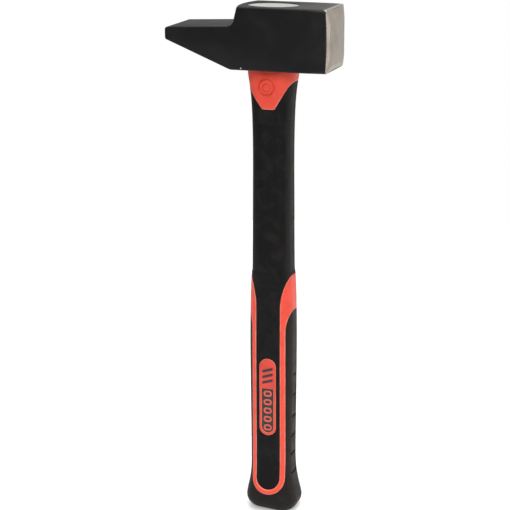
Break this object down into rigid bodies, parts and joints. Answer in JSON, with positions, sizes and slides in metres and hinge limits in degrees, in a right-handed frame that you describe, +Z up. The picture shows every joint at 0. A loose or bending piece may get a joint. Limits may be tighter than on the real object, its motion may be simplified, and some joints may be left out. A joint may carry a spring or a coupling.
{
  "type": "cross-peen hammer",
  "caption": "Engineer's cross-peen hammer with a square bevelled face, a wedge peen and a two-colour moulded fibreglass handle.",
  "frame": {"origin": "on the handle's centre line, in the middle of the hand grip", "axes": "+Z up the handle to the head, +X towards the striking face, -X towards the peen"},
  "size_m": [0.1094, 0.04, 0.3444],
  "materials": {
    "forged_steel": "satin black lacquer on the body, ground bright steel on the face",
    "resin": "cast, satin",
    "fibreglass": "pultruded rod",
    "red_plastic": "moulded, satin",
    "black_rubber": "matt, fine grain",
    "badge_red": "satin",
    "badge_black": "satin"
  },
  "bodies": {
    "root": {"head": "forged_steel", "eye_resin": "resin", "fibre_core": "fibreglass", "jacket": "red_plastic", "neck_sleeve": "black_rubber", "butt_grip": "black_rubber", "badge_front": "badge_red", "badge_back": "badge_red", "badge_field_front": "badge_black", "badge_field_back": "badge_black"}
  },
  "joints": []
}
